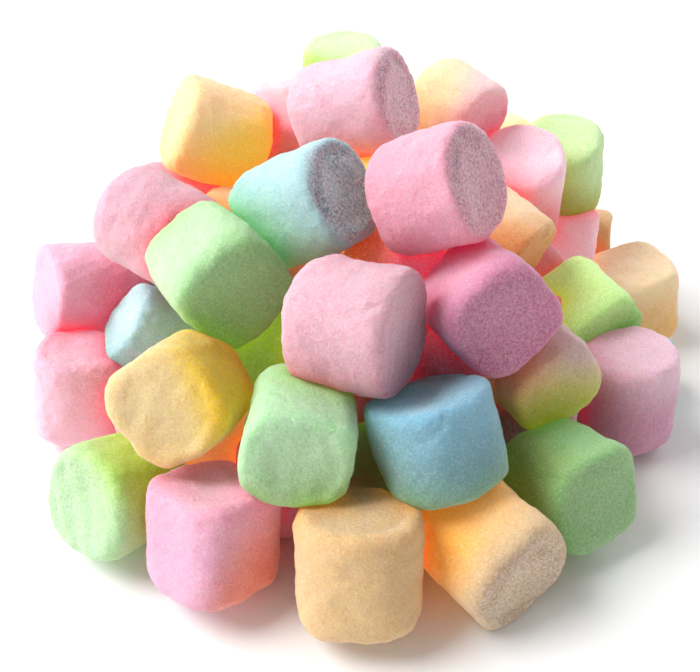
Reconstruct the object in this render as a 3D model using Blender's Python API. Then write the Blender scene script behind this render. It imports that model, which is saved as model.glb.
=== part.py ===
"""A heap of soft marshmallows on a table, as one solid out to its uneven outline.

Each marshmallow is a short barrel with rounded rims and a rounded-square cross-section.
The ones at the front are placed by hand, the ones at the back by rings round the heap.
They are joined with each other and with a turned core that fills the middle of the heap.
"""

import math
import random

import bmesh
import bpy
import numpy as np
from mathutils import Matrix, Vector

MM = 0.001
NAME = "marshmallow_heap"

# One marshmallow.
WIDTH = 27
LENGTH = 25
RIM = 0.16  # the rim's rounding, as a share of the width

# The exponent of the cross-section: 2 is a circle, more is squarer. A piece with a roll of its own
# is a squarer one.
ROUNDER = 2.3
SQUARER = 3.1
SIDES = 12
RIM_STEPS = 1

# The middle of the heap's footprint, in the coordinates that the places below use.
MIDDLE = (7.5, 2.2)

# Kind, place (x, y, z) of the centre, turn (heading, rise and roll of the axis in degrees),
# and width and length, in millimetres. The heading runs from +X towards +Y.
FRONT = [
    ("lime", (-2, 34, 81), (-90, 80, 0), (23, 23)),
    ("pink", (1, 5, 83), (-25, 20, 0), (26, 28)),
    ("yellow", (30, 26, 76), (-45, -15, 0), (23, 22)),
    ("yellow", (-36, 10, 74), (-160, 25, 0), (26, 25)),
    ("pink", (-20, 45, 66), (5, 0, 0), (24, 23)),
    ("pink", (-48, -19, 60), (-30, -15, 0), (25, 26)),
    ("blue", (-11, -28, 70), (-30, 30, 0), (26, 27)),
    ("mint", (-31, -39, 58), (-60, 0, 35), (26, 27)),
    ("pink", (19, -35, 77), (-30, 25, 0), (27, 24)),
    ("lilac", (31, -47, 54), (-75, 10, 40), (25, 25)),
    ("pink", (1, -59, 56), (-25, 5, 0), (28, 25)),
    ("yellow", (-37, -62, 40), (-100, 20, 40), (25, 25)),
    ("mint", (-11, -71, 36), (-90, 5, -10), (24, 24)),
    ("blue", (19, -71, 34), (125, 65, 0), (27, 23)),
    ("lime", (-54, -66, 14), (-125, 20, 0), (26, 24)),
    ("lilac", (-30, -80, 15), (80, 71, 60), (26, 25)),
    ("orange", (2, -89, 15), (90, 71, 0), (27, 26)),
    ("orange", (30, -82, 13), (-56, -2, 30), (26, 25)),
    ("mint", (51, -64, 15), (-60, 15, 5), (25, 24)),
    ("pink", (-74, -27, 15), (10, 80, 0), (23, 28)),
    ("pink", (-74, -2, 32), (-145, 15, 0), (26, 28)),
    ("blue", (-52, -19, 27), (-165, 40, 0), (23, 24)),
    ("lilac", (75, -30, 16), (-160, 82, 0), (24, 30)),
    ("blue", (82, -9, 11), (-25, 0, 0), (20, 22)),
    ("lime", (65, -11, 31), (-65, -10, 40), (22, 23)),
    ("yellow", (45, -41, 33), (-65, 0, 30), (24, 25)),
    ("orange", (41, -5, 51), (-45, -20, 0), (22, 22)),
    ("pink", (50, 20, 53), (-105, 60, 0), (25, 34)),
    ("lime", (66, 38, 52), (-120, 70, 0), (25, 28)),
    ("orange", (78, 55, 18), (-15, 0, 0), (25, 25)),
    ("pink", (66, 32, 29), (-15, 0, 0), (26, 25)),
    ("orange", (91, 24, 14), (-155, 75, -10), (26, 28)),
]

# Pieces that only show between those above.
BETWEEN = [
    ("pink", (-47, 14, 54), (15, 0, 0), (25, 25)),
    ("pink", (50, -36, 12), (-15, 0, 0), (26, 25)),
    ("pink", (11, -23, 52), (-5, 0, 0), (26, 25)),
    ("orange", (-28, -8, 52), (-5, 0, 0), (26, 25)),
    ("lime", (-20, -34, 36), (5, 0, 0), (26, 25)),
    ("orange", (-34, -49, 13), (10, 0, 0), (26, 25)),
    ("pink", (-13, -60, 13), (5, 0, 0), (25, 25)),
    ("mint", (5, -52, 17), (0, 0, 0), (26, 25)),
    ("orange", (21, -64, 13), (-5, 0, 0), (25, 25)),
    ("pink", (20, -37, 32), (-5, 0, 0), (26, 25)),
    ("yellow", (6, -10, 62), (20, 0, 0), (24, 24)),
    ("pink", (27, 16, 57), (30, 10, 0), (26, 25)),
    ("mint", (48, 46, 13), (40, 0, 0), (26, 25)),
    ("yellow", (42, 46, 54), (40, 0, 0), (21, 21)),
]

# The back of the heap: pieces in each ring, the ring's radius, height, and first and last bearing.
BACK_RINGS = [
    (8, 86, 13, 48, 134),
    (2, 74, 13, 152, 168),
    (7, 66, 36, 60, 160),
    (4, 49, 57, 62, 132),
    (2, 32, 72, 70, 130),
]
RING_KINDS = ("pink", "orange", "lime", "lilac", "blue", "yellow", "pink", "mint")
RISES = (0, 10, 20, 80, -10)
SEED = 7

# Settling: how near two pieces come, as a share of their mean size, and the number of passes.
NEAREST = 0.98
PASSES = 80

# The core's turned outline: radius and height.
CORE = ((0, 0), (80, 0), (80, 4), (75, 15), (60, 38), (44, 57), (24, 72), (0, 78))
CORE_SIDES = 28


def clear_scene():
    for thing in list(bpy.data.objects):
        bpy.data.objects.remove(thing)


def back_pieces():
    """The rings round the back, each piece a little out of line and turned its own way."""
    chance = random.Random(SEED)
    pieces = []
    for count, radius, height, first, last in BACK_RINGS:
        for i in range(count):
            share = i / max(count - 1, 1)
            bearing = math.radians(first + (last - first) * share + chance.uniform(-2, 2))
            reach = radius + chance.uniform(-2, 2)
            place = (reach * math.cos(bearing), reach * math.sin(bearing), height + chance.uniform(-1.5, 1.5))
            turn = (math.degrees(bearing) + chance.uniform(-70, 70), chance.choice(RISES), chance.uniform(0, 90))
            size = (WIDTH + chance.uniform(-2, 1), LENGTH + chance.uniform(-2, 1))
            pieces.append((RING_KINDS[len(pieces) % len(RING_KINDS)], place, turn, size))
    return pieces


def settled_heap():
    """All the pieces, after the ones that aren't placed by hand have been pushed clear of the rest."""
    pieces = FRONT + BETWEEN + back_pieces()
    places = np.array([place for _, place, _, _ in pieces], dtype=float)
    sizes = np.array([sum(size) / 2 for _, _, _, size in pieces])
    free = np.arange(len(pieces)) >= len(FRONT)
    share = free[:, None] * np.where(free[None, :], 0.5, 1.0)
    for _ in range(PASSES):
        apart = places[:, None] - places[None, :]
        distance = np.linalg.norm(apart, axis=2) + 1e-9
        overlap = np.maximum(0, NEAREST * (sizes[:, None] + sizes[None, :]) / 2 - distance)
        np.fill_diagonal(overlap, 0)
        places += 0.5 * ((overlap * share / distance)[:, :, None] * apart).sum(axis=1)
        places[:, 2] = np.where(free, np.maximum(places[:, 2], sizes / 2), places[:, 2])
    return [(kind, tuple(places[i]), turn, size) for i, (kind, _, turn, size) in enumerate(pieces)]


def turned_axes(turn):
    """The piece's own axes as a matrix: two across it, and the third along it."""
    heading, rise, roll = (math.radians(angle) for angle in turn)
    along = Vector((math.cos(rise) * math.cos(heading), math.cos(rise) * math.sin(heading), math.sin(rise)))
    level = Vector((-math.sin(heading), math.cos(heading), 0))
    upright = along.cross(level)
    across = level * math.cos(roll) + upright * math.sin(roll)
    return Matrix((across, along.cross(across), along)).transposed()


def half_profile(width, length):
    """Radius and distance from the middle, from the belly out to the flat of one end."""
    radius = width / 2
    rim = RIM * width
    points = []
    for step in range(RIM_STEPS + 1):
        angle = math.pi / 2 * step / RIM_STEPS
        points.append((radius - rim + rim * math.cos(angle), length / 2 - rim + rim * math.sin(angle)))
    return points


def add_marshmallow(mesh, place, turn, size):
    half = half_profile(*size)
    profile = [(radius, -height) for radius, height in reversed(half)] + half
    axes = turned_axes(turn)
    squareness = SQUARER if turn[2] else ROUNDER
    rings = []
    for radius, height in profile:
        ring = []
        for side in range(SIDES):
            angle = 2 * math.pi * (side + 0.5) / SIDES
            square = abs(math.cos(angle)) ** squareness + abs(math.sin(angle)) ** squareness
            reach = radius * square ** (-1 / squareness)
            point = axes @ Vector((reach * math.cos(angle), reach * math.sin(angle), height)) + Vector(place)
            point.z = max(point.z, 0)
            ring.append(mesh.verts.new(point * MM))
        rings.append(ring)
    for low, high in zip(rings, rings[1:]):
        for side in range(SIDES):
            after = (side + 1) % SIDES
            mesh.faces.new((low[side], low[after], high[after], high[side]))
    mesh.faces.new(reversed(rings[0]))
    mesh.faces.new(rings[-1])


def heap_of_barrels():
    mesh = bmesh.new()
    for _, place, turn, size in settled_heap():
        add_marshmallow(mesh, place, turn, size)
    return finished(mesh, "barrels")


def turned_core():
    mesh = bmesh.new()
    points = [mesh.verts.new((radius * MM, 0, height * MM)) for radius, height in CORE]
    edges = [mesh.edges.new(pair) for pair in zip(points, points[1:])]
    bmesh.ops.spin(
        mesh,
        geom=points + edges,
        cent=(0, 0, 0),
        axis=(0, 0, 1),
        angle=2 * math.pi,
        steps=CORE_SIDES,
        use_merge=True,
    )
    bmesh.ops.remove_doubles(mesh, verts=mesh.verts, dist=1e-6)
    bmesh.ops.recalc_face_normals(mesh, faces=mesh.faces)
    return finished(mesh, NAME)


def finished(mesh, name):
    data = bpy.data.meshes.new(name)
    mesh.to_mesh(data)
    mesh.free()
    thing = bpy.data.objects.new(name, data)
    bpy.context.scene.collection.objects.link(thing)
    return thing


def joined(core, barrels):
    """The union of the core with every barrel."""
    union = core.modifiers.new("union", "BOOLEAN")
    union.operation = "UNION"
    union.solver = "EXACT"
    union.use_self = True
    union.object = barrels
    whole = bpy.data.meshes.new_from_object(core.evaluated_get(bpy.context.evaluated_depsgraph_get()))
    core.modifiers.remove(union)
    core.data = whole
    bpy.data.objects.remove(barrels)
    return core


def shells(mesh):
    """The mesh's separate shells, as lists of faces."""
    left = set(mesh.faces)
    found = []
    while left:
        shell = [left.pop()]
        for face in shell:
            for edge in face.edges:
                for other in edge.link_faces:
                    if other in left:
                        left.remove(other)
                        shell.append(other)
        found.append(shell)
    return found


def fill_pockets(heap):
    """Keep the outer shell only, so that no sealed pocket is left between the pieces."""
    mesh = bmesh.new()
    mesh.from_mesh(heap.data)
    bmesh.ops.triangulate(mesh, faces=mesh.faces)
    outer, *pockets = sorted(shells(mesh), key=len, reverse=True)
    bmesh.ops.delete(mesh, geom=sum(pockets, []), context="FACES")
    mesh.to_mesh(heap.data)
    mesh.free()


def sugar(name, colour):
    material = bpy.data.materials.new(name)
    material.use_nodes = True
    surface = material.node_tree.nodes["Principled BSDF"]
    surface.inputs["Base Color"].default_value = (*colour, 1)
    surface.inputs["Roughness"].default_value = 0.8
    surface.inputs["Metallic"].default_value = 0
    return material


def build():
    clear_scene()
    heap = joined(turned_core(), heap_of_barrels())
    fill_pockets(heap)
    heap.data.materials.clear()
    heap.data.materials.append(sugar("marshmallow", (0.86, 0.52, 0.62)))
    heap.data.shade_smooth()
    heap.data.set_sharp_from_angle(angle=math.radians(40))
    heap.location = (-MIDDLE[0] * MM, -MIDDLE[1] * MM, 0)


build()
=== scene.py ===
"""A heap of nearly eighty soft pastel marshmallows on a pale table.

Each marshmallow is a short rounded-square barrel on axes of its own, with lumps, a crease round
each end and short folds. Where two of them meet, their faces are pressed back towards flats. The
ones at the front are listed one by one, the ones at the back and most of those inside by rings.
Lengths are in millimetres up to the finished meshes, which are in metres.
"""

import math
import random

import bpy
import numpy as np
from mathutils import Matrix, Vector


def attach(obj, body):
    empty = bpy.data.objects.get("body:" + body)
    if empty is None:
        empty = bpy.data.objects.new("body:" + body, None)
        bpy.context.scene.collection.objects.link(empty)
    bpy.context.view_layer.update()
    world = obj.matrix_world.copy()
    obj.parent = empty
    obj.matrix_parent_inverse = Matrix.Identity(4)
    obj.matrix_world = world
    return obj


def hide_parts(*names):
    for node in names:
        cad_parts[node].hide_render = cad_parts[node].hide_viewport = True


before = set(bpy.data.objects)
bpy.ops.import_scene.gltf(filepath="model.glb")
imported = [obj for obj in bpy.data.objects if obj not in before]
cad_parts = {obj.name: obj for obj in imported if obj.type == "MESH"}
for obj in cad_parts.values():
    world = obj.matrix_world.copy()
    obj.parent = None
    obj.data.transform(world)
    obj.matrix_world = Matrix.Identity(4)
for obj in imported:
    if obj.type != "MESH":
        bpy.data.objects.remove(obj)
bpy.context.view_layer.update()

MM = 0.001
TINY = 1e-9  # added where a division by nothing could happen

# The middle of the heap's footprint, in the coordinates that the places below use.
MIDDLE = (7.5, 2.2)

# Kind, place (x, y, z) of the centre, turn (heading, rise and roll of the axis in degrees),
# and width and length. The heading runs from +X towards +Y.
FRONT = [
    ("lime", (-2, 34, 81), (-90, 80, 0), (23, 23)),
    ("pink", (1, 5, 83), (-25, 20, 0), (26, 28)),
    ("yellow", (30, 26, 76), (-45, -15, 0), (23, 22)),
    ("yellow", (-36, 10, 74), (-160, 25, 0), (26, 25)),
    ("pink", (-20, 45, 66), (5, 0, 0), (24, 23)),
    ("pink", (-48, -19, 60), (-30, -15, 0), (25, 26)),
    ("blue", (-11, -28, 70), (-30, 30, 0), (26, 27)),
    ("mint", (-31, -39, 58), (-60, 0, 35), (26, 27)),
    ("pink", (19, -35, 77), (-30, 25, 0), (27, 24)),
    ("lilac", (31, -47, 54), (-75, 10, 40), (25, 25)),
    ("pink", (1, -59, 56), (-25, 5, 0), (28, 25)),
    ("yellow", (-37, -62, 40), (-100, 20, 40), (25, 25)),
    ("mint", (-11, -71, 36), (-90, 5, -10), (24, 24)),
    ("blue", (19, -71, 34), (125, 65, 0), (27, 23)),
    ("lime", (-54, -66, 14), (-125, 20, 0), (26, 24)),
    ("lilac", (-30, -80, 15), (80, 71, 60), (26, 25)),
    ("orange", (2, -89, 15), (90, 71, 0), (27, 26)),
    ("orange", (30, -82, 13), (-56, -2, 30), (26, 25)),
    ("mint", (51, -64, 15), (-60, 15, 5), (25, 24)),
    ("pink", (-74, -27, 15), (10, 80, 0), (23, 28)),
    ("pink", (-74, -2, 32), (-145, 15, 0), (26, 28)),
    ("blue", (-52, -19, 27), (-165, 40, 0), (23, 24)),
    ("lilac", (75, -30, 16), (-160, 82, 0), (24, 30)),
    ("blue", (82, -9, 11), (-25, 0, 0), (20, 22)),
    ("lime", (65, -11, 31), (-65, -10, 40), (22, 23)),
    ("yellow", (45, -41, 33), (-65, 0, 30), (24, 25)),
    ("orange", (41, -5, 51), (-45, -20, 0), (22, 22)),
    ("pink", (50, 20, 53), (-105, 60, 0), (25, 34)),
    ("lime", (66, 38, 52), (-120, 70, 0), (25, 28)),
    ("orange", (78, 55, 18), (-15, 0, 0), (25, 25)),
    ("pink", (66, 32, 29), (-15, 0, 0), (26, 25)),
    ("orange", (91, 24, 14), (-155, 75, -10), (26, 28)),
]

# Pieces that only show between those above.
BETWEEN = [
    ("pink", (-47, 14, 54), (15, 0, 0), (25, 25)),
    ("pink", (50, -36, 12), (-15, 0, 0), (26, 25)),
    ("pink", (11, -23, 52), (-5, 0, 0), (26, 25)),
    ("orange", (-28, -8, 52), (-5, 0, 0), (26, 25)),
    ("lime", (-20, -34, 36), (5, 0, 0), (26, 25)),
    ("orange", (-34, -49, 13), (10, 0, 0), (26, 25)),
    ("pink", (-13, -60, 13), (5, 0, 0), (25, 25)),
    ("mint", (5, -52, 17), (0, 0, 0), (26, 25)),
    ("orange", (21, -64, 13), (-5, 0, 0), (25, 25)),
    ("pink", (20, -37, 32), (-5, 0, 0), (26, 25)),
    ("yellow", (6, -10, 62), (20, 0, 0), (24, 24)),
    ("pink", (27, 16, 57), (30, 10, 0), (26, 25)),
    ("mint", (48, 46, 13), (40, 0, 0), (26, 25)),
    ("yellow", (42, 46, 54), (40, 0, 0), (21, 21)),
]

# The back of the heap: pieces in each ring, the ring's radius, height, and first and last bearing.
BACK_RINGS = [
    (8, 86, 13, 48, 134),
    (2, 74, 13, 152, 168),
    (7, 66, 36, 60, 160),
    (4, 49, 57, 62, 132),
    (2, 32, 72, 70, 130),
]

# Inner pieces that show from the sides, listed one by one.
DEEPER = [
    ("pink", (48, 6, 30), (30, 20, 0), (26, 25)),
    ("pink", (45, -15, 25), (-40, 10, 0), (26, 25)),
    ("pink", (-48, -38, 13), (20, 10, 0), (26, 25)),
]

# The rest of the inner pieces, as rings again.
INNER_RINGS = [
    (13, 60, 13, 0, 332),
    (8, 44, 36, 0, 315),
    (4, 24, 56, 45, 315),
]
CLEARANCE = 19  # an inner piece nearer than this to an outer one is left out
RING_KINDS = ("pink", "orange", "lime", "lilac", "blue", "yellow", "pink", "mint")
INNER_FIRST_KIND = 3  # where the inner rings start among these kinds
SEED = 7

# A piece in a ring: its width and length, how far it strays in bearing (degrees), reach, height,
# heading (degrees) and size, and what its rise (degrees) is chosen from.
WIDTH = 27
LENGTH = 25
STRAY_BEARING = 2
STRAY_REACH = 2
STRAY_HEIGHT = 1.5
STRAY_HEADING = 70
STRAY_SIZE = (-2, 1)
RISES = (0, 10, 20, 80, -10)

# Settling, which moves the pieces that aren't in FRONT: how near two come, as a share of their mean
# size, the number of passes, and how much of each overlap a pass takes away.
NEAREST = 0.98
PASSES = 80
PACE = 0.5

# The shape of one: the exponents of the cross-section and of the rim (2 is round, more is squarer).
# A piece with a roll of its own is a squarer one.
ROUNDER = 2.3
SQUARER = 3.1
NEAR_RIM = (8.0, 11.0)  # at the end that the axis points to
FAR_RIM = (5.0, 7.0)

# Squares along each side of a piece's mesh: those of FRONT, the other outer ones, and the inner ones.
FRONT_GRID = 32
OUTER_GRID = 20
INNER_GRID = 16

# Soft lumps: wavelength and height, and how much the waves in them differ from that wavelength.
LUMPS = ((18, 0.2), (7, 0.1), (3, 0.07))
WAVE_SPREAD = (0.7, 1.3)

# An end: how sharply it starts, and its crease's share of the radius, half width as a share, and
# depth where the end is damp and where it is dry. The crease's depth varies along it.
END_STARTS = 4
CREASE = (0.72, 0.1, 0.35, 1.4)
CREASE_CHANGE = 20  # the wavelength of its change in depth
DISH = 0.6

# The painted shade that a dry end's rim throws: its breadth as a share of the radius, how soon it is
# full, and how much of red, green and blue is lost in it.
SHADE_BREADTH = 0.22
SHADE_RISE = 1.3
SHADED = np.array((0.42, 0.55, 0.45))

# Short folds in the skin: how many on each piece, half width, length and depth.
FOLDS = 4
FOLD_WIDTH = 0.7
FOLD_LENGTH = 4.5
FOLD_DEPTH = 0.25
FOLD_BEND = (12, 0.5)  # wavelength and height of a fold's bends

# Contact: the gap that pressing aims for between two faces, and the softness of a contact's edge.
GAP = 0.25
SOFTNESS = 0.5
REACH = 5  # how far a neighbour's painted glow reaches
LEAST_WEIGHT = 1e-6  # what the weights of all the neighbours' colours start from
GLOW_SHARE = 0.8  # the painted glow's share of the skin's colour right at a contact
OWN_GLOW = 0.9  # the share of its own colour in the painted glow beside a neighbour

# Each kind's linear colours: of the powdery skin, and of the painted glow between two pieces,
# which stands in for light bounced between them and is mixed into the skin near each contact.
KINDS = {
    "pink": ((0.90, 0.51, 0.62), (0.92, 0.05, 0.10)),
    "lilac": ((0.74, 0.37, 0.52), (0.65, 0.02, 0.12)),
    "lime": ((0.56, 0.84, 0.34), (0.46, 0.74, 0.004)),
    "mint": ((0.46, 0.76, 0.42), (0.20, 0.62, 0.05)),
    "yellow": ((0.92, 0.70, 0.36), (1.0, 0.60, 0.004)),
    "orange": ((0.90, 0.60, 0.31), (0.98, 0.28, 0.01)),
    "blue": ((0.36, 0.64, 0.74), (0.12, 0.52, 0.38)),
}
INNER_LIGHT = 0.2  # how bright the painted glow between two pieces is, given off as emission
GLOW_STARTS = 0.4  # how much of the full glow there must be before it gives light
SHINE_THROUGH = 3.5  # how far light goes inside, for the colour that a kind lets through best

# The skin's bumps: their size, octaves and height.
BUMPS = ((1.8, 3, 0.45), (0.5, 4, 0.15))

# The skin's grain: size, octaves, where in the noise it starts and ends, and what it runs from and
# to. Powder is a shade, specks and mottles a share, and patches how much mottling there is.
GRAINS = {
    "powder": (0.6, 5, 0.35, 0.65, 0.88, 1.04),
    "specks": (0.45, 3, 0.5, 0.72, 0, 0.2),
    "mottles": (0.6, 4, 0.4, 0.6, 0, 1),
    "patches": (4, 3, 0.35, 0.6, 0.5, 1),
}
NOISE_ROUGHNESS = 0.6
SPECK_COLOUR = (0.95, 0.93, 0.93)

# A dry end's mottles: what the dark ones do to the skin, and the pale ones' colour and share.
# The dark mottles darken and grey the whole end, partly as painted shade on ends turned from the light.
DARK_MOTTLE = (0.62, 0.50, 0.58)
PALE_MOTTLE = (0.84, 0.72, 0.70)
PALE_SHARE = 0.6

# The rest of the surface, as the Principled BSDF has it.
SURFACE = {
    # the emission carries the painted glow and the painted shine
    "Emission Strength": 1.0,
    "Roughness": 0.85,
    "Specular IOR Level": 0.3,
    "Sheen Weight": 0.2,
    "Sheen Roughness": 0.5,
    "Subsurface Weight": 0.7,
    "Subsurface Scale": SHINE_THROUGH * MM,
}

# How a piece differs from the rest of its kind, by its row, counted on from FRONT into BETWEEN.
# The depth below 1 is paler and above 1 more vivid; the shade is how light it is, partly its own
# tone and partly painted shade or light where the heap shades or lights it; the shine is painted
# light that it gives off as emission, standing in for light let through; the dryness is how
# mottled and creased its end is, and how much painted shade the end's rim throws; like names another
# kind whose colours it has; and the sides are other linear colours with the way that each one
# faces, painted light, shade and neighbours' glow on that side. The longer that direction is, the
# more of the piece its colour covers. The deep colours and shine of the pieces that only show
# between others are painted glow in the gaps.
PLAIN_LOOK = {"depth": 1, "shade": 1, "painted_shine": 0, "dryness_and_shade": 0.08, "like": None, "painted_sides": ()}
LOOKS = {
    0: {"depth": 0.6, "painted_shine": 0.04, "painted_sides": [((0.48, 0.80, 0.10), (-0.5, -0.6, -0.4))]},
    1: {"depth": 0.75, "shade": 0.96, "painted_shine": 0.03, "dryness_and_shade": 0.8},
    2: {
        "depth": 0.75,
        "painted_shine": 0.1,
        "painted_sides": [((0.88, 0.62, 0.64), (0.8, -0.3, 0.1)), ((0.82, 0.28, 0.36), (0.4, -0.5, -0.6))],
    },
    3: {"shade": 0.95, "painted_shine": 0.22, "painted_sides": [((0.98, 0.66, 0.07), (0.6, -0.5, -0.6))]},
    4: {"depth": 0.6, "painted_shine": 0.15},
    5: {"shade": 0.96},
    6: {
        "depth": 0.55,
        "shade": 0.85,
        "painted_shine": 0.03,
        "dryness_and_shade": 0.85,
        "painted_sides": [((0.42, 0.72, 0.46), (-0.4, -0.3, -0.6))],
    },
    7: {
        "depth": 0.8,
        "painted_shine": 0.05,
        "painted_sides": [((0.30, 0.56, 0.22), (0.5, -0.5, -0.1)), ((0.38, 0.68, 0.08), (-0.1, 0.0, -0.6))],
    },
    8: {"depth": 1.15, "shade": 0.92, "dryness_and_shade": 0.8},
    9: {"depth": 0.85, "dryness_and_shade": 0.3, "painted_sides": [((0.60, 0.21, 0.35), (0.4, -0.7, 0.0))]},
    10: {"depth": 1.05, "shade": 0.9, "painted_sides": [((0.45, 0.22, 0.28), (0.7, -0.1, -0.4))]},
    11: {"depth": 1.0, "shade": 0.88, "dryness_and_shade": 0.0, "painted_sides": [((0.88, 0.60, 0.01), (0.9, 0.1, 0.3))]},
    12: {"depth": 0.85},
    13: {
        "depth": 1.2,
        "shade": 0.6,
        "painted_sides": [((0.27, 0.52, 0.66), (0.0, 0.0, 0.65)), ((0.45, 0.58, 0.12), (0.1, -0.1, -0.55))],
    },
    14: {
        "depth": 1.1,
        "shade": 0.9,
        "painted_shine": 0.06,
        "dryness_and_shade": 0.15,
        "painted_sides": [((0.50, 0.74, 0.44), (-0.6, -0.6, 0.1)), ((0.50, 0.66, 0.04), (0.7, 0.3, 0.5))],
    },
    15: {
        "depth": 0.8,
        "painted_shine": 0.05,
        "painted_sides": [((0.82, 0.24, 0.16), (0.9, -0.2, -0.3)), ((0.88, 0.46, 0.58), (0.2, 0.1, 0.6))],
    },
    16: {"shade": 0.86, "dryness_and_shade": 0.15},
    17: {
        "painted_shine": 0.12,
        "dryness_and_shade": 0.45,
        "painted_sides": [((0.98, 0.50, 0.06), (-0.9, -0.1, 0.1)), ((0.52, 0.40, 0.26), (0.45, -0.65, -0.1))],
    },
    18: {
        "depth": 1.5,
        "shade": 0.8,
        "dryness_and_shade": 0.15,
        "painted_sides": [((0.28, 0.42, 0.08), (-0.7, -0.3, 0.1)), ((0.30, 0.52, 0.22), (0.4, -0.7, 0.0))],
    },
    19: {"depth": 0.95, "painted_shine": 0.15},
    20: {"depth": 1.0, "painted_shine": 0.08, "painted_sides": [((0.95, 0.26, 0.36), (0.8, -0.3, -0.2))]},
    21: {"depth": 0.65, "shade": 0.95, "painted_shine": 0.1},
    22: {"depth": 1.1, "painted_sides": [((0.85, 0.58, 0.68), (0.2, 0.0, 0.6))]},
    24: {"depth": 1.1, "painted_shine": 0.28, "painted_sides": [((0.24, 0.50, 0.14), (0.4, -0.5, -0.5))]},
    25: {
        "depth": 1.2,
        "shade": 0.95,
        "painted_sides": [
            ((0.80, 0.36, 0.26), (-0.5, -0.3, 0.2)),
            ((0.68, 0.45, 0.48), (0.5, 0.1, 0.6)),
            ((0.60, 0.62, 0.06), (0.2, -0.4, -0.5)),
        ],
    },
    26: {"depth": 1.9, "shade": 0.9, "painted_shine": 0.08, "painted_sides": [((0.94, 0.78, 0.54), (0.0, 0.2, 0.7))]},
    27: {"depth": 0.65, "painted_shine": 0.18, "painted_sides": [((0.80, 0.22, 0.24), (0.3, -0.4, -0.7))]},
    28: {"depth": 0.75, "painted_shine": 0.05, "painted_sides": [((0.46, 0.48, 0.08), (0.0, -0.3, -0.6))]},
    30: {"depth": 0.85, "painted_shine": 0.3},
    31: {
        "depth": 0.9,
        "painted_shine": 0.12,
        "painted_sides": [((0.95, 0.76, 0.50), (-0.2, -0.2, 0.6)), ((0.86, 0.50, 0.16), (0.2, -0.5, -0.4))],
    },
    32: {"painted_shine": 0.1},
    34: {"depth": 1.8, "painted_shine": 0.15, "painted_sides": [((0.85, 0.24, 0.05), (-0.7, 0.0, 0.4))]},
    36: {"depth": 2.2, "painted_shine": 0.25},
    37: {"depth": 1.7, "painted_shine": 0.3},
    # painted shade: a dark gap between pieces, in lime colours
    40: {"like": "lime", "depth": 1.5, "shade": 0.4},
    41: {"depth": 2.4, "shade": 0.8},
    42: {"depth": 1.6, "painted_shine": 0.4},
    45: {"depth": 0.7, "painted_shine": 0.25},
}
KIND_CHANGE = (0.95, 1.05)  # how much a piece's colour may differ from its kind's

# A painted side's colour (painted light, shade and neighbours' glow): how far out it starts and how
# softly, as shares of half the width, how much more painted light it gives off, and how much deeper
# its painted glow is than its skin, as an exponent.
SIDE_STARTS = 0.4
SIDE_SOFTNESS = 0.14
SIDE_PAINTED_SHINE = 0.04
SIDE_GLOW = 2.0

# The core, which only fills the middle: half its sizes, squares along each side, the wavelength
# and height of its lumps, and how low its flat foot is.
CORE = (42, 42, 50)
CORE_GRID = 16
CORE_LUMPS = (25, 2)
CORE_SEED = 5
CORE_FOOT = 1

# Lights: where each comes from, how wide it looks in degrees, and its strength.
KEY_FROM = (-0.65, 0.0, 0.75)
SUNS = {
    "key": (KEY_FROM, 35, 3.1),
    "side": ((-0.9, -0.35, 0.25), 40, 0.75),
    "back": ((0.55, 0.65, 0.55), 40, 0.9),
}
ROOM_LIGHT = 0.38
BOUNCES = 16
DIFFUSE_BOUNCES = 10

# The table: half its side in metres, its colour and how rough it is.
FLOOR = 3.0
FLOOR_COLOUR = (0.9, 0.9, 0.9)
FLOOR_ROUGHNESS = 0.9

# The camera: its place, its angle below level, its focal length and its sensor's width.
CAMERA_PLACE = (0, -214, 154)
CAMERA_DOWN = 33
FOCAL_LENGTH = 43.7
SENSOR_WIDTH = 36


def ring_pieces(rings, chance, first_kind=0):
    """Pieces in rings round the middle, each a little out of line and turned its own way."""
    pieces = []
    for count, radius, height, first, last in rings:
        for i in range(count):
            share = i / max(count - 1, 1)
            bearing = first + (last - first) * share + chance.uniform(-STRAY_BEARING, STRAY_BEARING)
            reach = radius + chance.uniform(-STRAY_REACH, STRAY_REACH)
            middle = height + chance.uniform(-STRAY_HEIGHT, STRAY_HEIGHT)
            angle = math.radians(bearing)
            place = (reach * math.cos(angle), reach * math.sin(angle), middle)
            heading = bearing + chance.uniform(-STRAY_HEADING, STRAY_HEADING)
            turn = (heading, chance.choice(RISES), chance.uniform(0, 90))
            size = (WIDTH + chance.uniform(*STRAY_SIZE), LENGTH + chance.uniform(*STRAY_SIZE))
            kind = RING_KINDS[(first_kind + len(pieces)) % len(RING_KINDS)]
            pieces.append((kind, place, turn, size))
    return pieces


def settled(pieces):
    """The pieces, after those that aren't in FRONT have been pushed clear of the rest."""
    places = np.array([place for _, place, _, _ in pieces], dtype=float)
    sizes = np.array([sum(size) / 2 for _, _, _, size in pieces])
    free = np.arange(len(pieces)) >= len(FRONT)
    share = free[:, None] * np.where(free[None, :], 0.5, 1.0)
    for _ in range(PASSES):
        apart = places[:, None] - places[None, :]
        distance = np.linalg.norm(apart, axis=2) + TINY
        overlap = np.maximum(0, NEAREST * (sizes[:, None] + sizes[None, :]) / 2 - distance)
        np.fill_diagonal(overlap, 0)
        places += PACE * ((overlap * share / distance)[:, :, None] * apart).sum(axis=1)
        places[:, 2] = np.where(free, np.maximum(places[:, 2], sizes / 2), places[:, 2])
    return [(kind, tuple(places[i]), turn, size) for i, (kind, _, turn, size) in enumerate(pieces)]


def heap_pieces():
    """The outer pieces, lying as the CAD solid has them, then the inner ones; and how many are outer."""
    chance = random.Random(SEED)
    outer = settled(FRONT + BETWEEN + ring_pieces(BACK_RINGS, chance))
    inner = ring_pieces(INNER_RINGS, chance, INNER_FIRST_KIND)
    return outer + DEEPER + [piece for piece in inner if is_clear(piece, outer)], len(outer)


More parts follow.
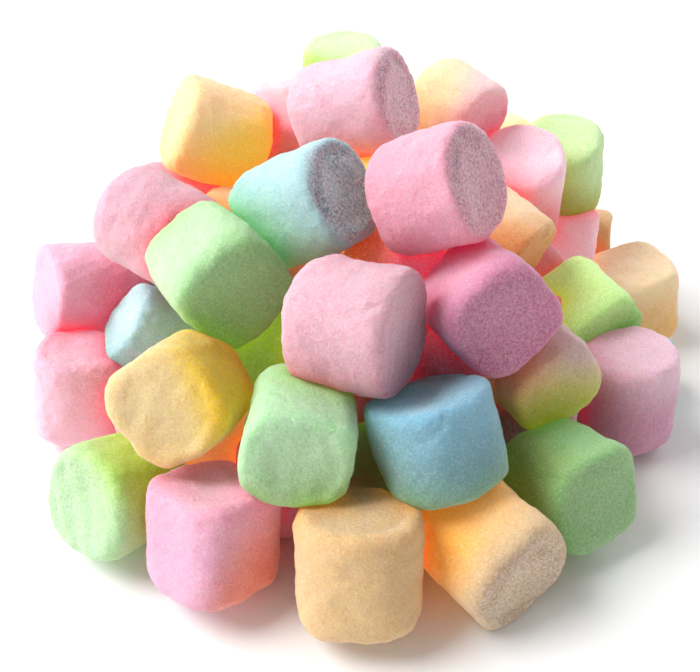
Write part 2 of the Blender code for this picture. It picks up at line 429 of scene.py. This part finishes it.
def is_clear(piece, others):
    """Whether the piece's centre lies far enough from those of all the others."""
    apart = min(math.dist(piece[1], place) for _, place, _, _ in others)
    return apart > CLEARANCE


def turned_axes(turn):
    """The piece's own axes as rows: two across it, and the third along it."""
    heading, rise, roll = (math.radians(angle) for angle in turn)
    flat = math.cos(rise)
    along = Vector((flat * math.cos(heading), flat * math.sin(heading), math.sin(rise)))
    level = Vector((-math.sin(heading), math.cos(heading), 0))
    upright = along.cross(level)
    across = level * math.cos(roll) + upright * math.sin(roll)
    return np.array((across, along.cross(across), along))


class Sweet:
    """One marshmallow, as a smooth field that is 1 on its surface and grows outwards."""

    def __init__(self, piece, number, chance, outer):
        self.kind, place, turn, (width, length) = piece
        self.outer = outer
        self.look = PLAIN_LOOK | LOOKS.get(number, {})
        skin, glow = KINDS[self.look["like"] or self.kind]
        self.skin = self.look["shade"] * np.array(skin) ** self.look["depth"]
        self.glow = self.look["shade"] * np.array(glow)
        self.place = np.array(place)
        self.axes = turned_axes(turn)
        self.half = np.array((width, width, length)) / 2
        self.squareness = SQUARER if turn[2] else ROUNDER
        self.rims = (chance.uniform(*NEAR_RIM), chance.uniform(*FAR_RIM))
        self.seed = chance.randrange(10**6)

    def own(self, points):
        return (points - self.place) @ self.axes.T

    def world(self, local):
        return local @ self.axes + self.place

    def field(self, local):
        """The field at local points, and its gradient there."""
        share = np.abs(local) / self.half + TINY
        round_ = (share[:, :2] ** self.squareness).sum(axis=1) ** (1 / self.squareness)
        rim = np.where(local[:, 2] > 0, *self.rims)
        field = (round_**rim + share[:, 2] ** rim) ** (1 / rim)
        outward = (round_ / field) ** (rim - 1)
        gradient = np.empty_like(local)
        gradient[:, :2] = outward[:, None] * (share[:, :2] / round_[:, None]) ** (self.squareness - 1)
        gradient[:, 2] = (share[:, 2] / field) ** (rim - 1)
        return field, gradient * np.sign(local) / self.half

    def from_axis(self, local):
        """How far local points are from the axis, as a share of half the width."""
        return np.linalg.norm(local[:, :2], axis=1) / self.half[0]

    def distance(self, points):
        """How far outside the surface the points are, less than nothing inside."""
        field, gradient = self.field(self.own(points))
        return (field - 1) / np.linalg.norm(gradient, axis=1)


def ball_of_squares(count):
    """Points and quads of a cube's surface cut into squares, closer together near its edges."""
    line = np.linspace(-1, 1, count + 1)
    line = (line + np.sin(line * math.pi / 2)) / 2
    one, two = (side.ravel() for side in np.meshgrid(line, line, indexing="ij"))
    number = np.arange((count + 1) ** 2).reshape(count + 1, count + 1)
    corners = (number[:-1, :-1], number[1:, :-1], number[1:, 1:], number[:-1, 1:])
    grid = np.stack([corner.ravel() for corner in corners], axis=1)
    points = []
    quads = []
    for axis in range(3):
        for end in (-1, 1):
            face = np.empty((len(one), 3))
            face[:, axis] = end
            face[:, (axis + 1) % 3] = one
            face[:, (axis + 2) % 3] = two
            quads.append((grid if end > 0 else grid[:, ::-1]) + len(points) * len(one))
            points.append(face)
    points = np.concatenate(points)
    _, first, same = np.unique(points.round(6), axis=0, return_index=True, return_inverse=True)
    return points[first], same.ravel()[np.concatenate(quads)]


def waves(points, wavelength, seed, count=10):
    """A soft random height for each point, mostly within one up or down."""
    chance = np.random.default_rng(seed)
    directions = chance.normal(size=(count, 3))
    directions /= np.linalg.norm(directions, axis=1)[:, None]
    directions *= 2 * math.pi / wavelength * chance.uniform(*WAVE_SPREAD, (count, 1))
    phases = chance.uniform(0, 2 * math.pi, count)
    return np.cos(points @ directions.T + phases).sum(axis=1) * math.sqrt(2 / count)


def marshmallow_points(sweet, cube):
    """The piece's surface points before it meets its neighbours, the way out, and how much is end."""
    local = cube * sweet.half
    local /= sweet.field(local)[0][:, None]
    _, outward = sweet.field(local)
    outward /= np.linalg.norm(outward, axis=1)[:, None]
    at_end = np.abs(outward[:, 2]) ** END_STARTS
    height = sum(tall * waves(local, long, sweet.seed + i) for i, (long, tall) in enumerate(LUMPS))
    height -= at_end * end_hollow(sweet, local)
    height -= folds(local, sweet.seed)
    return local + outward * height[:, None], outward, at_end


def end_hollow(sweet, local):
    """The depth of an end's crease and of the dish inside it."""
    where, breadth, damp, dry = CREASE
    dryness_and_shade = sweet.look["dryness_and_shade"]
    share = sweet.from_axis(local)
    patchy = 0.5 + 0.5 * waves(local, CREASE_CHANGE, sweet.seed + 10)
    deepest = damp + (dry - damp) * dryness_and_shade
    crease = deepest * patchy * np.exp(-(((share - where) / breadth) ** 2))
    dish = DISH * (1 + dryness_and_shade) * np.maximum(0, 1 - (share / where) ** 2)
    return crease + dish


def folds(local, seed):
    """The depth of a few short folds that lie anywhere on the surface."""
    chance = np.random.default_rng(seed)
    depth = np.zeros(len(local))
    long, wide = FOLD_BEND
    for _ in range(FOLDS):
        away = local - local[chance.integers(len(local))]
        across = chance.normal(size=3)
        across /= np.linalg.norm(across)
        bend = away @ across + wide * waves(local, long, seed)
        groove = np.exp(-((bend / FOLD_WIDTH) ** 2) - (away**2).sum(axis=1) / (2 * FOLD_LENGTH**2))
        depth += FOLD_DEPTH * groove
    return depth


def pressed(points, outward, sweet, others):
    """The points after the neighbours have pushed them in, how close these are, and their painted glow.

    Two outer pieces, or two inner ones, share each overlap, and an outer one yields to an inner one.
    Each push is measured to the other's unpressed shape, so some of a deep overlap is left.
    """
    nearest = np.full(len(points), np.inf)
    own = np.log(sweet.glow)  # glows are averaged as logarithms, which keeps them deep
    glow = np.zeros((len(points), 3))
    weights = np.full(len(points), LEAST_WEIGHT)
    for other in others:
        distance = other.distance(points)
        share = 0.5 if other.outer == sweet.outer else float(sweet.outer)
        push = np.logaddexp(0, (GAP - distance) / SOFTNESS) * SOFTNESS * share
        points = points - outward * push[:, None]
        nearest = np.minimum(nearest, distance)
        weight = np.exp(-np.maximum(distance, 0) / REACH)
        glow += weight[:, None] * (OWN_GLOW * own + (1 - OWN_GLOW) * np.log(other.glow))
        weights += weight
    closeness = np.exp(-np.maximum(nearest, 0) / REACH)
    return points, closeness, np.exp(glow / weights[:, None])


def neighbours(sweet, sweets):
    """The other sweets that lie near enough to touch this one."""
    near = []
    for other in sweets:
        apart = np.linalg.norm(other.place - sweet.place)
        if other is not sweet and apart < np.linalg.norm(other.half) + np.linalg.norm(sweet.half):
            near.append(other)
    return near


def finished_sweet(sweet, sweets, cube):
    """The sweet's points among its neighbours, with the values that its material reads at each."""
    local, outward, at_end = marshmallow_points(sweet, cube)
    points = sweet.world(local)
    points, closeness, glow = pressed(points, outward @ sweet.axes, sweet, neighbours(sweet, sweets))
    points[:, 2] = np.maximum(points[:, 2], 0)
    skin, glow, painted_shine = colours(sweet, points, glow)
    dry = at_end * (local[:, 2] > 0) * sweet.look["dryness_and_shade"]
    # painted shade along a dry end's crease, on the side toward the main light
    skin *= 1 - (dry * painted_rim_shade(sweet, local))[:, None] * SHADED
    return {
        "points": points,
        "skin": np.column_stack((skin, np.ones(len(points)))),
        "painted_shine": painted_shine,
        "glow": np.column_stack((glow, GLOW_SHARE * closeness)),
        "at_end": dry,
    }


def colours(sweet, points, glow):
    """The skin's colour at each point, the colour of its painted glow there, and how much painted light
    it gives off.
    """
    chance = np.random.default_rng(sweet.seed)
    skin = np.tile(sweet.skin * chance.uniform(*KIND_CHANGE, 3), (len(points), 1))
    painted_shine = np.full(len(points), float(sweet.look["painted_shine"]))
    # painted light and shade: each side's colour is painted over the part of the piece facing its way
    for colour, side in sweet.look["painted_sides"]:
        colour = np.array(colour)
        reach = (points - sweet.place) @ np.array(side) / sweet.half[0]
        share = 1 / (1 + np.exp((SIDE_STARTS - reach) / SIDE_SOFTNESS))
        skin += (colour - skin) * share[:, None]
        glow = glow + (colour**SIDE_GLOW - glow) * share[:, None]
        painted_shine += SIDE_PAINTED_SHINE * share
    return skin, glow, painted_shine


def painted_rim_shade(sweet, local):
    """How much painted shade each point takes from the rim of the end's dish, from 0 to 1.

    The painted shade lies along the crease, on the side that the main light comes from.
    """
    across = (sweet.axes @ KEY_FROM)[:2]
    toward = local[:, :2] @ across / (sweet.half[0] * np.linalg.norm(across))
    near = np.exp(-(((sweet.from_axis(local) - CREASE[0]) / SHADE_BREADTH) ** 2))
    return np.clip(SHADE_RISE * toward, 0, 1) * near


def joined_mesh(name, parts):
    """One object from many sweets: each part has points, quads, and its values for the material."""
    start = 0
    quads = []
    for part in parts:
        quads.append(part["quads"] + start)
        start += len(part["points"])
    points = np.concatenate([part["points"] for part in parts])
    points[:, :2] -= MIDDLE
    data = bpy.data.meshes.new(name)
    data.from_pydata((points * MM).tolist(), [], np.concatenate(quads).tolist())
    for value in ("skin", "glow"):
        layer = data.attributes.new(value, "FLOAT_COLOR", "POINT")
        layer.data.foreach_set("color", np.concatenate([part[value] for part in parts]).ravel())
    for value in ("at_end", "painted_shine"):
        layer = data.attributes.new(value, "FLOAT", "POINT")
        layer.data.foreach_set("value", np.concatenate([part[value] for part in parts]))
    data.shade_smooth()
    thing = bpy.data.objects.new(name, data)
    bpy.context.scene.collection.objects.link(thing)
    return thing


def build_sweets():
    """One joined piece for each kind of marshmallow."""
    pieces, outer = heap_pieces()
    chance = random.Random(SEED)
    sweets = [Sweet(piece, i, chance, i < outer) for i, piece in enumerate(pieces)]
    grids = [ball_of_squares(count) for count in (FRONT_GRID, OUTER_GRID, INNER_GRID)]
    parts = {kind: [] for kind in KINDS}
    for i, sweet in enumerate(sweets):
        cube, quads = grids[(i >= len(FRONT)) + (i >= outer)]
        parts[sweet.kind].append({"quads": quads, **finished_sweet(sweet, sweets, cube)})
    things = []
    for kind, (colour, _) in KINDS.items():
        thing = joined_mesh(kind + "_marshmallows", parts[kind])
        thing.data.materials.append(sweet_material(kind, colour))
        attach(thing, "root")
        things.append(thing)
    return things


class Shader:
    """The nodes of one material, made and linked by short calls that return an output."""

    def __init__(self, material):
        material.use_nodes = True
        self.nodes = material.node_tree.nodes
        self.links = material.node_tree.links
        self.inputs = self.nodes["Principled BSDF"].inputs
        self.place = self.nodes.new("ShaderNodeTexCoord").outputs["Object"]

    def noise(self, size, octaves):
        """Noise in the heap's own coordinates, of a size in millimetres."""
        node = self.nodes.new("ShaderNodeTexNoise")
        node.inputs["Scale"].default_value = 1 / (size * MM)
        node.inputs["Detail"].default_value = octaves
        node.inputs["Roughness"].default_value = NOISE_ROUGHNESS
        self.links.new(self.place, node.inputs["Vector"])
        return node.outputs["Fac"]

    def attribute(self, name, output="Color"):
        node = self.nodes.new("ShaderNodeAttribute")
        node.attribute_name = name
        return node.outputs[output]

    def ramp(self, value, low, high, dark, light):
        """A grey that goes from dark to light while the value goes from low to high."""
        node = self.nodes.new("ShaderNodeValToRGB")
        ends = node.color_ramp.elements
        ends[0].position, ends[1].position = low, high
        ends[0].color, ends[1].color = (dark, dark, dark, 1), (light, light, light, 1)
        self.links.new(value, node.inputs["Fac"])
        return node.outputs["Color"]

    def grain(self, name):
        """The grey of one of the grains in the table."""
        size, octaves, low, high, dark, light = GRAINS[name]
        return self.ramp(self.noise(size, octaves), low, high, dark, light)

    def mixed(self, share, one, other, blend="MIX"):
        """Two colours mixed, each of which may be an output or a plain colour."""
        node = self.nodes.new("ShaderNodeMix")
        node.data_type = "RGBA"
        node.blend_type = blend
        for socket, value in (("Factor", share), ("A", one), ("B", other)):
            if isinstance(value, bpy.types.NodeSocket):
                self.links.new(value, node.inputs[socket])
            else:
                node.inputs[socket].default_value = value
        return node.outputs["Result"]

    def times(self, one, other):
        """Two colours multiplied."""
        return self.mixed(1.0, one, other, "MULTIPLY")

    def bumped(self):
        """The normal, with one bump after another."""
        normal = None
        for size, octaves, height in BUMPS:
            bump = self.nodes.new("ShaderNodeBump")
            bump.inputs["Strength"].default_value = 1.0
            bump.inputs["Distance"].default_value = height * MM
            self.links.new(self.noise(size, octaves), bump.inputs["Height"])
            if normal:
                self.links.new(normal, bump.inputs["Normal"])
            normal = bump.outputs["Normal"]
        return normal


def skin_colour(shader):
    """The skin with its painted glow near contacts, powder and specks, and with the mottles of a dry
    end.
    """
    closeness = shader.attribute("glow", "Alpha")
    # painted glow: near each contact the skin takes the glow's deep colour, standing in for bounced
    # light
    skin = shader.mixed(closeness, shader.attribute("skin"), shader.attribute("glow"))
    skin = shader.times(skin, shader.grain("powder"))
    skin = shader.mixed(shader.grain("specks"), skin, (*SPECK_COLOUR, 1))
    dark = shader.times(skin, (*DARK_MOTTLE, 1))
    pale = shader.mixed(PALE_SHARE, skin, (*PALE_MOTTLE, 1))
    mottle = shader.mixed(shader.grain("mottles"), dark, pale)
    dry = shader.times(shader.attribute("at_end"), shader.grain("patches"))
    return shader.mixed(dry, skin, mottle)


def painted_emission(shader, skin):
    """Painted light given off as emission: the glow between two pieces, and light standing in for what a
    thin one lets through.
    """
    closeness = shader.attribute("glow", "Alpha")
    near = shader.ramp(closeness, GLOW_STARTS * GLOW_SHARE, GLOW_SHARE, 0, INNER_LIGHT)
    between = shader.times(shader.attribute("glow"), near)
    # painted shine: the skin's own colour given off as light
    through = shader.times(skin, shader.attribute("painted_shine"))
    return shader.mixed(1.0, between, through, "ADD")


def sweet_material(name, colour):
    """Soft powdery sugar, which light enters deepest in the kind's strongest colour."""
    material = bpy.data.materials.new(name + "_marshmallow")
    shader = Shader(material)
    skin = skin_colour(shader)
    shader.links.new(skin, shader.inputs["Base Color"])
    shader.links.new(painted_emission(shader, skin), shader.inputs["Emission Color"])
    shader.links.new(shader.bumped(), shader.inputs["Normal"])
    for socket, value in SURFACE.items():
        shader.inputs[socket].default_value = value
    strongest = max(colour)
    shader.inputs["Subsurface Radius"].default_value = [(c / strongest) ** 2 for c in colour]
    return material


def build_core():
    """A plain lump in the middle of the heap, under all the pieces."""
    cube, quads = ball_of_squares(CORE_GRID)
    points = cube / np.linalg.norm(cube, axis=1)[:, None] * CORE
    long, high = CORE_LUMPS
    outward = points / np.linalg.norm(points, axis=1)[:, None]
    points += outward * high * waves(points, long, CORE_SEED)[:, None]
    points[:, 2] = np.maximum(points[:, 2], CORE_FOOT)
    plain = np.tile((*KINDS["pink"][0], 1), (len(points), 1))
    nothing = np.zeros(len(points))
    values = {"skin": plain, "glow": plain, "painted_shine": nothing, "at_end": nothing}
    thing = joined_mesh("inner_core", [{"points": points, "quads": quads, **values}])
    thing.data.materials.append(bpy.data.materials["pink_marshmallow"])
    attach(thing, "root")
    return thing


def build_floor():
    """The pale table, for the picture only."""
    data = bpy.data.meshes.new("floor")
    corners = [(x * FLOOR, y * FLOOR, 0) for x, y in ((-1, -1), (1, -1), (1, 1), (-1, 1))]
    data.from_pydata(corners, [], [(0, 1, 2, 3)])
    floor = bpy.data.objects.new("floor", data)
    bpy.context.scene.collection.objects.link(floor)
    material = bpy.data.materials.new("floor")
    material.use_nodes = True
    surface = material.node_tree.nodes["Principled BSDF"]
    surface.inputs["Base Color"].default_value = (*FLOOR_COLOUR, 1)
    surface.inputs["Roughness"].default_value = FLOOR_ROUGHNESS
    data.materials.append(material)


def sun(name, come_from, softness, strength):
    data = bpy.data.lights.new(name, "SUN")
    data.angle = math.radians(softness)
    data.energy = strength
    light = bpy.data.objects.new(name, data)
    light.rotation_euler = (-Vector(come_from)).to_track_quat("-Z", "Y").to_euler()
    bpy.context.scene.collection.objects.link(light)


def light_scene():
    for name, values in SUNS.items():
        sun(name, *values)
    scene = bpy.context.scene
    scene.world = bpy.data.worlds.new("studio")
    scene.world.use_nodes = True
    background = scene.world.node_tree.nodes["Background"]
    background.inputs["Color"].default_value = (1, 1, 1, 1)
    background.inputs["Strength"].default_value = ROOM_LIGHT
    scene.view_settings.view_transform = "Standard"
    scene.cycles.max_bounces = BOUNCES
    scene.cycles.diffuse_bounces = DIFFUSE_BOUNCES


def place_camera():
    camera = bpy.data.objects.new("camera", bpy.data.cameras.new("camera"))
    x, y, z = CAMERA_PLACE
    camera.location = ((x - MIDDLE[0]) * MM, (y - MIDDLE[1]) * MM, z * MM)
    camera.rotation_euler = (math.radians(90 - CAMERA_DOWN), 0, 0)
    camera.data.lens = FOCAL_LENGTH
    camera.data.sensor_width = SENSOR_WIDTH
    camera.data.clip_start = 0.01
    bpy.context.scene.collection.objects.link(camera)
    bpy.context.scene.camera = camera


def build():
    place_camera()
    light_scene()
    build_floor()
    things = build_sweets()
    core = build_core()
    for thing in things + [core]:
        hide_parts("marshmallow_heap")


build()
